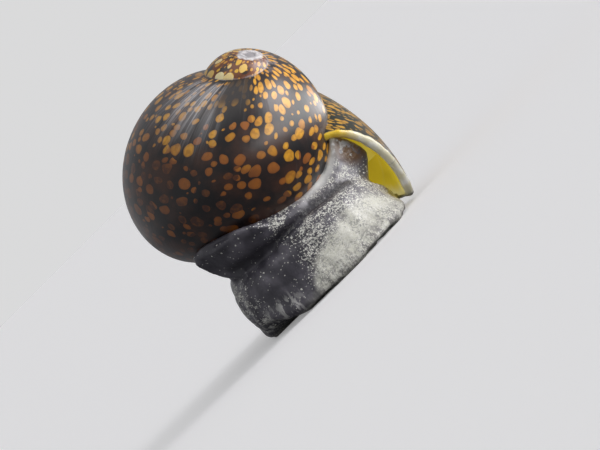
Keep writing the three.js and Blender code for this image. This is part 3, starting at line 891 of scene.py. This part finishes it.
def closeness(places, line, reach):
    """How close each place is to a line of points, and which share of the line it is at."""
    best, share = np.full(len(places), 1e9), np.zeros(len(places))
    for index, point in enumerate(line):
        gap = lengths(places - point)
        nearer = gap < best
        best[nearer], share[nearer] = gap[nearer], index / (len(line) - 1)
    return np.clip(1 - best / reach, 0, 1), best, share


route_steps = 240
place = coordinates(body) / mm
normal = read(body.data.vertices, "normal")
nothing = np.zeros(len(place))
x, y, z = place.T
feeler_share, feeler_top = nothing, nothing
for sign in (-1, 1):
    route = spline([(head_x + sign * x, y, z, r) for x, y, z, r in feeler_route], route_steps)
    _, gap, share = closeness(place, route[:, :3], 1.2)
    station = np.round(share * (route_steps - 1)).astype(int)
    centre, radius = route[station, :3], route[station, 3]
    hold = np.clip((share - 0.22) * 8, 0, 1) * (gap < radius + 0.4)
    drawn = centre + (place - centre) / np.maximum(gap, 1e-6)[:, None] * (radius * 0.98)[:, None]
    place += (drawn - place) * hold[:, None]
    here = share * (gap < radius + 0.5) * np.clip((share - 0.12) * 12, 0, 1)
    feeler_top = np.where(here > feeler_share, (place - centre)[:, 2] / np.maximum(gap, 1e-6), feeler_top)
    feeler_share = np.maximum(feeler_share, here)

# Broad waves low on the foot, drawn-out folds on its flank and tail, a finer unevenness all over, and
# rings across the snout.
foot_waves, flank_folds, tail_folds, snout_rings = 0.28, 0.10, 0.30, 0.07
uneven, fine_uneven = 0.07, 0.025
low_down = np.clip(1 - z / 2.2, 0, 1)
flank = np.clip((z - 0.1) / 0.6, 0, 1) * np.clip((6.2 - z) / 1.5, 0, 1)
tail = np.exp(-((x + 7.5) / 3.0) ** 2 - (z / 3.0) ** 2) * (y < 0)
push = foot_waves * low_down * wave(place, (0.42, 0.42, 0.1), 3.1)
push += flank * (flank_folds + tail_folds * tail) * wave(place, (1.1, 0.8, 0.22), 7.7)
push += uneven * wave(place, (0.9, 0.9, 0.9), 1.3) + fine_uneven * wave(place, (2.3, 2.3, 2.3), 5.9)
snouty = np.clip((y - 10.5) / 2.5, 0, 1)
push += snout_rings * snouty * wave(place, (0.5, 2.6, 0.8), 9.2)
push[feeler_share > 0.2] *= 0.25
fold_edge, _, _ = closeness(place, upper, 0.7)
push *= 1 - fold_edge
place += normal * push[:, None]

mouth_middle = np.array((head_x, 17.0, 0.75))
mouth_reach = (1.0, 0.9, 0.4)
mouth_depth = 0.95
offset = (place - mouth_middle) / mouth_reach
y -= mouth_depth * np.exp(-(offset ** 2).sum(1))

# The stalk's end is pressed back from the eye, and rises round it in a collar.
eye_clearance = 0.06
collar_height = 0.42
for side in ("left", "right"):
    low_corner, high_corner = np.array(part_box("eye_" + side)) / mm
    centre, eye_radius = (low_corner + high_corner) / 2, (high_corner - low_corner)[0] / 2
    way = place - centre
    gap = lengths(way)
    touched = gap < eye_radius + eye_clearance
    cleared = centre + way / np.maximum(gap, 1e-6)[:, None] * (eye_radius + eye_clearance)
    place[touched] = cleared[touched]
    looks = unit(np.array((-0.75 if side == "left" else 0.75, 0.25, 0.6)))
    collar = np.exp(-((gap - eye_radius - 0.12) / 0.2) ** 2) * np.clip(0.8 + way @ looks / eye_radius, 0, 1)
    place += collar_height * collar[:, None] * looks

sole_below = 0.14
curl_way = (-0.2, 0, 1.5)
z[z < sole_below] = 0.0
curl = np.clip((-x - 3.5) / 5.0, 0, 1) * np.clip((-y - 3.5) / 4.5, 0, 1)
curl = curl * curl * (3 - 2 * curl) * np.clip((6 - z) / 4, 0, 1)
place += curl[:, None] * curl_way
np.maximum(z, 0, out=z)
set_coordinates(body, place * mm)

# Where the pale edge, the feelers and the deep crease lie, for the colours.
pale_from = -2.5
crease_run = slice(20, 80)
pale_edge, _, pale_share = closeness(place, upper[upper[:, 0] > pale_from], 1.5)
pale_edge *= np.clip(pale_share * 2.2, 0, 1) * (y < -4)
crease, _, _ = closeness(place, lower[crease_run], 1.2)
set_mark(body, "marks", np.stack((pale_edge, nothing, crease), 1))
set_mark(body, "feelers", np.stack((feeler_share, feeler_top, nothing), 1))

flesh_skin, tree, shader = new_material("flesh_skin", coat_weight=0.3, coat_roughness=0.14)
slate, mid_slate, right_grey = (0.050, 0.047, 0.060), (0.125, 0.118, 0.140), (0.27, 0.26, 0.28)
hollow_shade, crease_shadow_black = (0.045, 0.042, 0.05), (0.009, 0.008, 0.012)
pale_mark, _, crease_mark = apart(mark("marks"))
feeler_mark, feeler_up, _ = apart(mark("feelers"))
where = place_in_mm()
wide, long, high = apart(where)


def away_from(point):
    return vector_of("DISTANCE", where, point)


# The flesh is darkened with painted shade in the hollow under the mouth's corner and along the deep crease.
to_hollow = away_from((8.6, -5.6, 5.7))
color = layered(
    slate, (ramp(noise(where, 0.5, 3.0), 0.38, 0.68), mid_slate),
    (ramp(wide, 0.0, 8.5) * ramp(long, 2.0, -3.0) * 0.8, right_grey),
    (ramp(to_hollow, 2.6, 1.0) * 0.85, hollow_shade), (crease_mark * 0.92, crease_shadow_black))

# The margin by the sole is cream at the right, higher in the middle, gritty, and drawn out in fine
# streaks. At the left it ends in a pale fringe.
cream_white, cream_shade, grit_grey, fringe_grey = (
    (0.86, 0.86, 0.74), (0.30, 0.29, 0.27), (0.22, 0.22, 0.21), (0.56, 0.56, 0.53))
front_margin = 1.1
streaks = noise(stretched(where, (2.4, 2.4, 0.35)), 1.0, 4.0, 0.6)
uneven = noise(where, 0.9, 4.0) * 2.0 - 1.0
ahead = ramp(long, 0.0, 5.0)
cream_top = calculate("MINIMUM", ramp(wide, -4.5, 2.0, 0.6, 3.9), ramp(wide, 5.4, 9.0, 4.6, 1.3))
cream_top = cream_top + (front_margin - cream_top) * ahead
margin = ramp(high + uneven - cream_top, 0.6, -0.6) * most(ramp(wide, -5.0, -1.0), ahead)
margin = most(margin * ramp(long, 13.0, 10.0, 0.25, 1.0), ramp(high, 0.7, 0.1) * 0.6)
grit = ramp(noise(where, 3.6, 5.0, 0.8), 0.55, 0.42) * ramp(noise(where, 0.8, 3.0), 0.62, 0.40, 0.15, 0.75)
fringe = ramp(high, 3.2, 1.6) * ramp(wide, -3.0, -5.5) * ramp(streaks, 0.50, 0.60)
cream = layered(cream_white, (ramp(streaks, 0.40, 0.60) * ramp(high, 2.4, 0.8), cream_shade),
                (grit, grit_grey))
color = layered(color, (margin * 0.94, cream), (fringe * 0.8, fringe_grey))

# White granules lie in flaky clumps, thickest on the ridges, along the left edge and toward the right.
granule_white = (0.88, 0.88, 0.80)
clumps = ramp(noise(where, 0.75, 5.0, 0.7), 0.44, 0.58)
left_edge = ramp(wide, -6.6, -7.8) * ramp(high, 6.6, 5.6) * ramp(long, -1.0, -4.5, 0.3, 1.0)
cluster = ramp(away_from((-0.6, -9.4, 7.4)), 1.4, 0.5)
plenty = most(ramp(wide, -3.5, 0.0), left_edge, cluster) * ramp(long, 3.0, 8.0, 1.0, 0.3) * clumps
flaky = noise(stretched(where, (0.8, 0.8, 1.9)), 1.0, 5.0, 0.7)
on_ridge = ramp(high, 6.3, 5.6) * ramp(wide, -2.5, 0.5) * ramp(long, -3.0, -6.0)
plenty = most(plenty, on_ridge * ramp(flaky, 0.43, 0.56, 0.12, 1.0))
plenty = plenty * ramp(to_hollow, 1.2, 2.4, 0.35, 1.0) * 0.68 + 0.03
granules = ramp(noise(where, 4.6, 5.0, 0.8), 0.52, 0.57) * ramp(plenty, 0.22, 0.42)
for grains_a_mm, share in ((9.0, 0.9), (5.0, 0.4)):
    grains = put("TexVoronoi", vector=where, scale=grains_a_mm)
    number = put("SeparateColor", color=grains["Color"])["Red"]
    chosen = calculate("LESS_THAN", number, plenty * share)
    granules = most(granules, ramp(grains["Distance"], 0.55, 0.35) * chosen)
granules = granules * ramp(pale_mark, 0.75, 0.4) * ramp(crease_mark, 0.75, 0.25, 0.12, 1.0)
color = layered(color, (granules * 0.9, granule_white))

# A smooth pale edge lies along the shell at the right, with a brown stain in the mouth's corner. The
# snout is paler round the mouth, with a few dark bars across it.
edge_white, corner_brown, muzzle_grey = (0.72, 0.73, 0.70), (0.13, 0.06, 0.014), (0.24, 0.225, 0.20)
stained = ramp(away_from((8.9, -6.1, 8.0)), 2.6, 1.0) * ramp(noise(where, 1.8, 4.0), 0.36, 0.50)
bars = noise(stretched(where, (0.5, 2.6, 1.6)), 1.0)
muzzle = ramp(long, 14.6, 17.4) * ramp(high, 2.9, 0.9) * ramp(bars, 0.36, 0.56)
color = layered(color, (ramp(pale_mark, 0.30, 0.90) * ramp(wide, 8.8, 7.8), edge_white),
                (stained, corner_brown), (muzzle * 0.8, muzzle_grey))

# The feelers are paler below, with a dark line along the top and faint rings.
feeler_pale, feeler_dark, feeler_ring, feeler_line = (
    (0.22, 0.215, 0.20), (0.075, 0.072, 0.076), (0.035, 0.033, 0.038), (0.016, 0.015, 0.018))
rings = ramp(noise(put("CombineXYZ", x=feeler_mark * 60.0)["Vector"], 1.0), 0.40, 0.60)
feeler = layered(feeler_pale, (ramp(feeler_up, -0.5, 0.6), feeler_dark), (rings * 0.45, feeler_ring),
                 (ramp(feeler_up, 0.86, 0.95) * ramp(feeler_mark, 0.97, 0.85), feeler_line))
color = layered(color, (ramp(feeler_mark, 0.12, 0.3), feeler))
rough = ramp(most(granules, margin), 0, 1, 0.33, 0.6, smooth=False)
finish(color, rough, granules * 0.35 + noise(where, 2.4, 5.0, 0.6), 0.6, 0.09)
body.data.materials.append(flesh_skin)
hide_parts("body_column", "foot_rear", "foot_middle", "foot_front", "neck", "head", "snout",
            "mantle_collar", "operculum_lobe", "tentacle_left_base", "tentacle_left_tip",
            "tentacle_right_base", "tentacle_right_tip", "eye_stalk_left", "eye_stalk_right")
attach(body, "root")

# The callus is the limy shelf inside the mouth, glazed golden yellow, and the operculum is the horny lid
# on the foot's fold, grown in arcs. Both are right as the frame has them, and get their finish here.
# The glaze glows a little: painted light that brightens the mouth.
callus, tree, shader = new_material("callus_glaze", roughness=0.22, coat_weight=0.4, coat_roughness=0.08,
                                    emission_strength=0.36)
glaze_gold, glaze_pale = (0.64, 0.50, 0.03), (0.68, 0.56, 0.06)
finish(blend(ramp(noise(place_in_mm(), 0.6, 3.0), 0.35, 0.65), glaze_gold, glaze_pale), glows=True)

lid, tree, shader = new_material("operculum_lid", roughness=0.4, coat_weight=0.2, coat_roughness=0.2)
horn_black, horn_brown = (0.05, 0.042, 0.035), (0.17, 0.12, 0.07)
arcs_a_mm = 3.4
where = place_in_mm()
arcs = put("CombineXYZ", x=away_from((-2.2, -8.4, 6.6)) * arcs_a_mm)["Vector"]
grown = noise(arcs, 1.0, 3.0)
finish(blend(ramp(grown, 0.4, 0.6), horn_black, horn_brown), relief=grown, strength=0.4, depth=0.05)
for name, coating in (("shell_deck", callus), ("operculum", lid)):
    node = bpy.data.objects[name]
    node.data.materials.clear()
    node.data.materials.append(coating)

# Each eye is a small black bead, hard and glassy, bedded in the collar at the end of its stalk. It is a
# plain ball, made where the frame has it.
eye_skin, tree, shader = new_material("eye_black", roughness=0.05, coat_weight=1.0, coat_roughness=0.02)
black, blue_black = (0.004, 0.004, 0.005), (0.02, 0.018, 0.022)
finish(blend(noise(place_in_mm(), 6.0), black, blue_black))
for side in ("left", "right"):
    low_corner, high_corner = np.array(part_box("eye_" + side))
    deselect()
    bpy.ops.mesh.primitive_uv_sphere_add(
        segments=32, ring_count=20, radius=(high_corner - low_corner)[0] / 2,
        location=(low_corner + high_corner) / 2)
    bpy.ops.object.transform_apply()
    bpy.ops.object.shade_smooth()
    eye = named("eye_bead_" + side)
    eye.data.materials.append(eye_skin)
    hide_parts("eye_" + side)
    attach(eye, "root")

# A plain pale floor under a plain pale studio. Both are paler to the camera than to the snail, so that
# they run into one another behind it and don't wash its colours out.
deselect()
bpy.ops.mesh.primitive_plane_add(size=60, location=(0, 0, 0))
floor = named("floor")
floor_paint, tree, shader = new_material("floor_paint", roughness=1.0, specular_ior_level=0.0,
                                         emission_color=(1, 1, 1, 1))
paint = blend(noise(put("TexCoord")["Object"], 3.0), (0.80, 0.80, 0.81), (0.82, 0.82, 0.82))
seen = put("LightPath")["Is Camera Ray"]
finish(blend(seen, (0.28, 0.28, 0.29), paint))
feed(seen * 0.25, shader.inputs["Emission Strength"])
floor.data.materials.append(floor_paint)
floor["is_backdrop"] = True
world = bpy.data.worlds.new("world")
world.use_nodes = True
tree = world.node_tree
shade = tree.nodes["Background"]
shade.inputs["Strength"].default_value = 1.0
seen = put("LightPath")["Is Camera Ray"]
feed(blend(seen, (0.30, 0.30, 0.31), (0.70, 0.70, 0.705)), shade.inputs["Color"])
bpy.context.scene.world = world
bpy.context.scene.view_settings.view_transform = "Standard"


def set_up(name, data):
    made = bpy.data.objects.new(name, data)
    bpy.context.scene.collection.objects.link(made)
    return made


# The camera looks along the snail from behind, a little from above, and is rolled by 45 degrees.
picture_width, pixels_a_mm = 600, 10.8
sight_distance, film_width = 300, 36
sight_rise = math.radians(2.5)
sight_centre = Vector((0.373, 0, 5.635)) * mm
sight = Vector((0, math.cos(sight_rise), -math.sin(sight_rise)))
level = Vector((1, 0, 0))
upright = Vector((0, math.sin(sight_rise), math.cos(sight_rise)))
picture_right = (level - upright).normalized()
picture_up = (level + upright).normalized()
camera = set_up("camera", bpy.data.cameras.new("camera"))
give(camera.data, lens=film_width * sight_distance / (picture_width / pixels_a_mm),
     sensor_width=film_width, clip_start=0.01, clip_end=200)
camera.rotation_euler = Matrix((picture_right, picture_up, -sight)).transposed().to_euler()
camera.location = sight_centre - sight * (sight_distance * mm)
bpy.context.scene.camera = camera

# One broad soft light comes from the snail's right and a weak one from above. A wide panel that lies on
# the floor, far to the right, throws light up at the shell.


def sun(name, towards, spread, power, tint):
    light = set_up(name, bpy.data.lights.new(name, "SUN"))
    give(light.data, angle=math.radians(spread), energy=power, color=tint)
    light.location = Vector(towards).normalized() * 0.3
    light.rotation_euler = Vector(towards).to_track_quat("Z", "Y").to_euler()


sun("window", (0.95, -0.28, 0.11), 42, 2.6, (1.0, 0.97, 1.0))
sun("top", (0.25, -0.3, 0.9), 60, 0.5, (1, 1, 1))
bounce = set_up("bounce", bpy.data.lights.new("bounce", "AREA"))
give(bounce.data, shape="RECTANGLE", size=570 * mm, size_y=300 * mm, energy=2.1)
give(bounce, location=(315 * mm, -100 * mm, 0.5 * mm), rotation_euler=(math.pi, 0, 0), visible_camera=False)

low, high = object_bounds()
